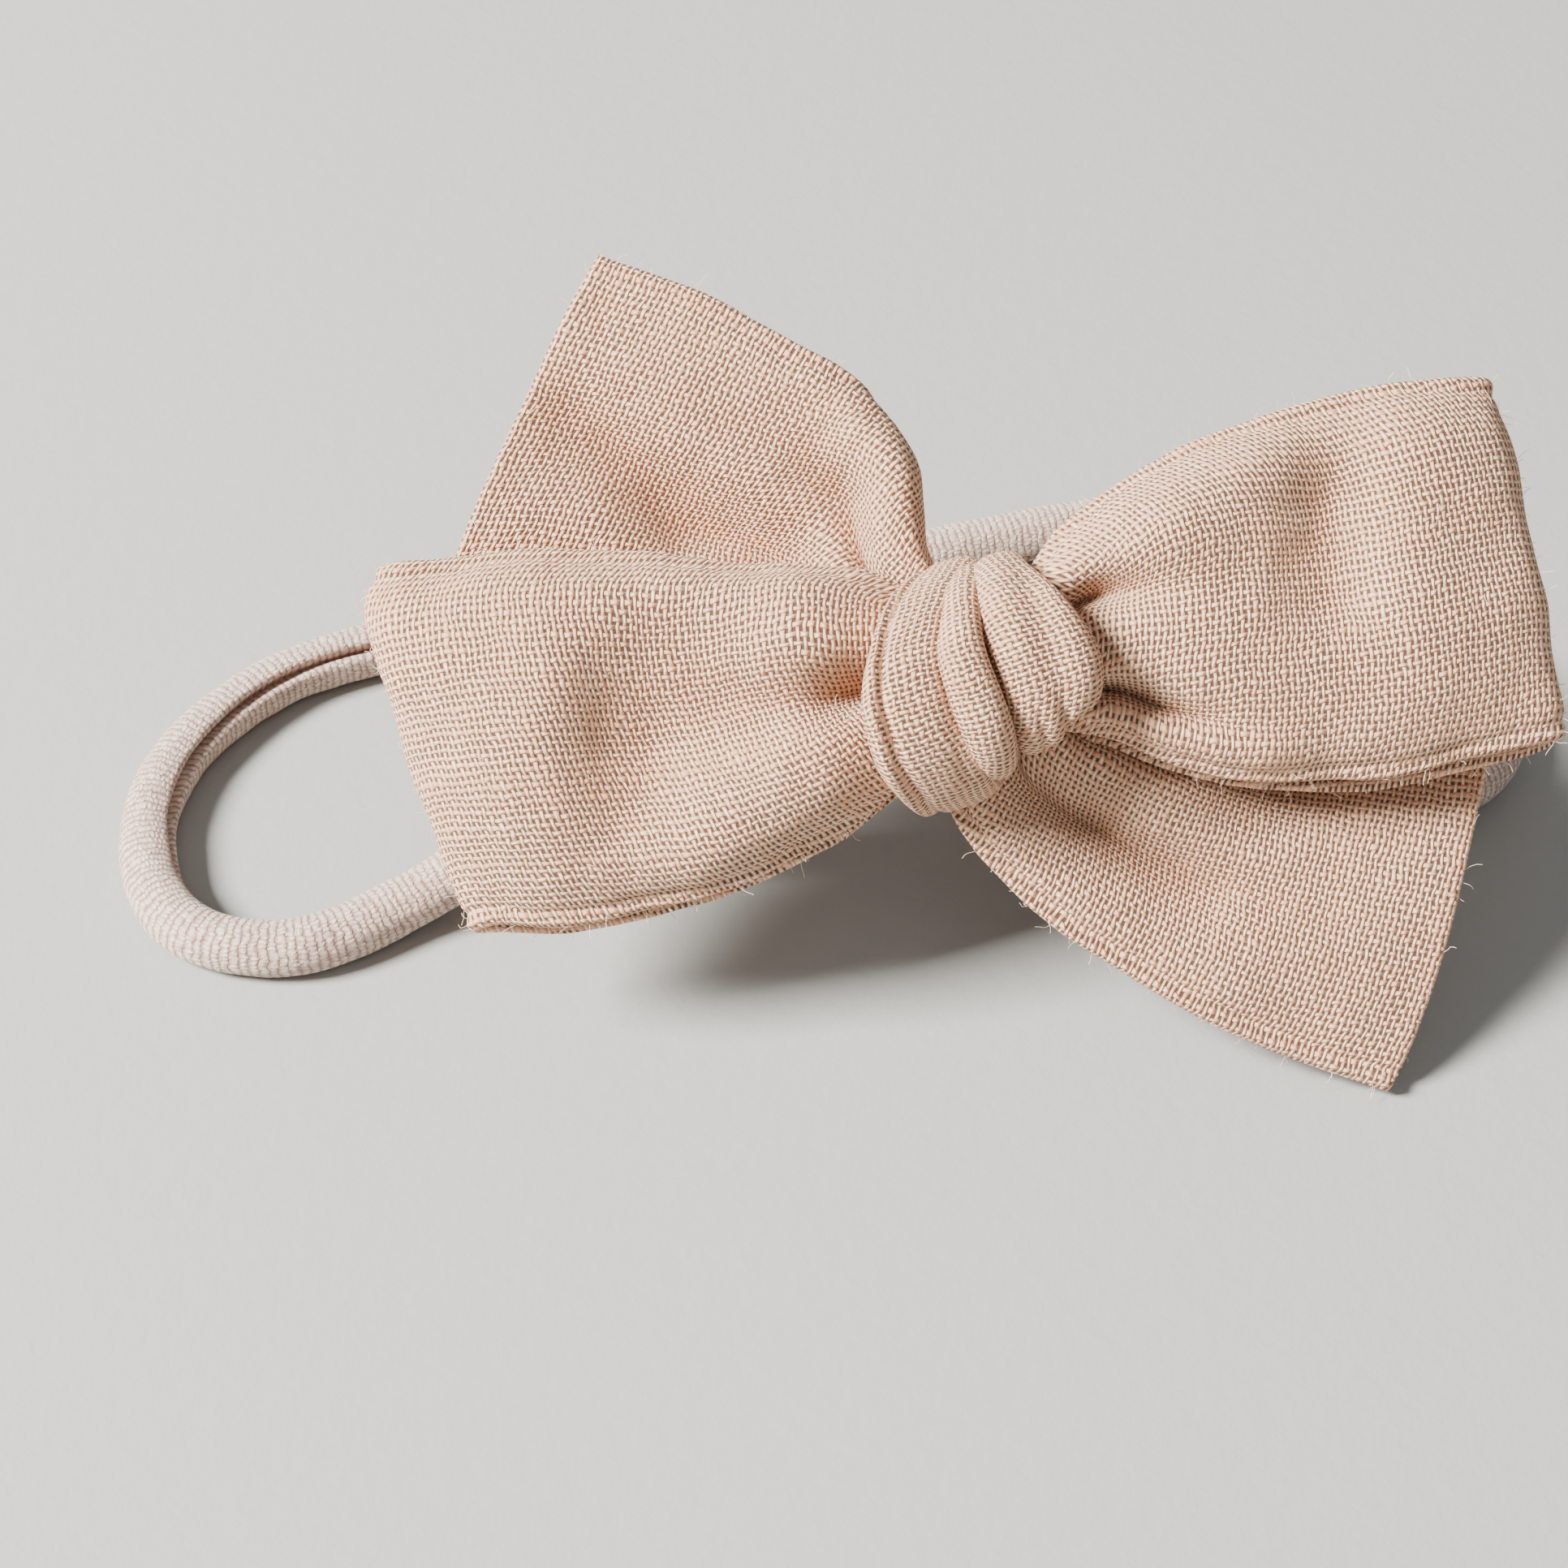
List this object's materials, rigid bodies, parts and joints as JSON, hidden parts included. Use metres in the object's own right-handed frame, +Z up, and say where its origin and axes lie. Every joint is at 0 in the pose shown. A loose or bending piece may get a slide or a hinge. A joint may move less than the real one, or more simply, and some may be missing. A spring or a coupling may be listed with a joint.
{
  "type": "knotted headband",
  "caption": "Soft hair band: a linen strip hand-tied into a knotted bow on a stretch nylon ring, standing with the bow leaning back.",
  "frame": {"origin": "on the surface that the band stands on, under the middle of the whole", "axes": "+X to the right along the bow as seen from its face, +Y from the bow back over the ring, +Z up"},
  "size_m": [0.1442, 0.0844, 0.0554],
  "materials": {
    "linen_cloth": "matt plain weave",
    "nylon_knit": "soft brushed stretch knit",
    "sewing_thread": "satin thread"
  },
  "bodies": {
    "band_front": {"band_front_run": "nylon_knit", "band_left_bend": "nylon_knit", "band_right_bend": "nylon_knit"},
    "band_back": {"band_back_run": "nylon_knit", "band_joining_seam": "nylon_knit"},
    "bow_knot": {"knot_core": "linen_cloth", "knot_left_wrap": "linen_cloth", "knot_middle_fold": "linen_cloth", "knot_right_wrap": "linen_cloth", "knot_back_wrap": "linen_cloth", "tack_stitches": "sewing_thread"},
    "lower_left_loop": {"lower_left_loop_front_ply": "linen_cloth", "lower_left_loop_back_ply": "linen_cloth"},
    "upper_right_loop": {"upper_right_loop_front_ply": "linen_cloth", "upper_right_loop_back_ply": "linen_cloth"},
    "upper_left_tail": {"upper_left_tail": "linen_cloth", "upper_left_tail_rolled_edge": "linen_cloth"},
    "lower_right_tail": {"lower_right_tail": "linen_cloth"}
  },
  "joints": [
    {"name": "band_stretch", "type": "slide", "parent": "band_front", "child": "band_back", "axis": [0, 1, 0], "range_m": [0, 0.06], "stiffness_N_per_m": 25, "deforming": ["band_left_bend", "band_right_bend"]},
    {"name": "bow_tilt", "type": "hinge", "parent": "band_front", "child": "bow_knot", "pos_m": [0.01287, -0.01215, 0.02374], "axis": [-1, 0, 0], "range_deg": [0, 12], "stiffness_Nm_per_rad": 0.02},
    {"name": "lower_left_loop_bend", "type": "hinge", "parent": "bow_knot", "child": "lower_left_loop", "pos_m": [0.00178, -0.02086, 0.03094], "axis": [-0.274, 0.6801, 0.6801], "range_deg": [0, 15], "stiffness_Nm_per_rad": 0.012},
    {"name": "upper_right_loop_bend", "type": "hinge", "parent": "bow_knot", "child": "upper_right_loop", "pos_m": [0.02396, -0.01785, 0.03395], "axis": [0.2079, -0.6917, -0.6917], "range_deg": [0, 15], "stiffness_Nm_per_rad": 0.012},
    {"name": "upper_left_tail_bend", "type": "hinge", "parent": "bow_knot", "child": "upper_left_tail", "pos_m": [0.00157, -0.0081, 0.03479], "axis": [0.4163, 0.6429, 0.6429], "range_deg": [-15, 0], "stiffness_Nm_per_rad": 0.012},
    {"name": "lower_right_tail_bend", "type": "hinge", "parent": "bow_knot", "child": "lower_right_tail", "pos_m": [0.02404, -0.02444, 0.01845], "axis": [-0.3007, -0.6744, -0.6744], "range_deg": [-4, 5], "stiffness_Nm_per_rad": 0.03}
  ]
}
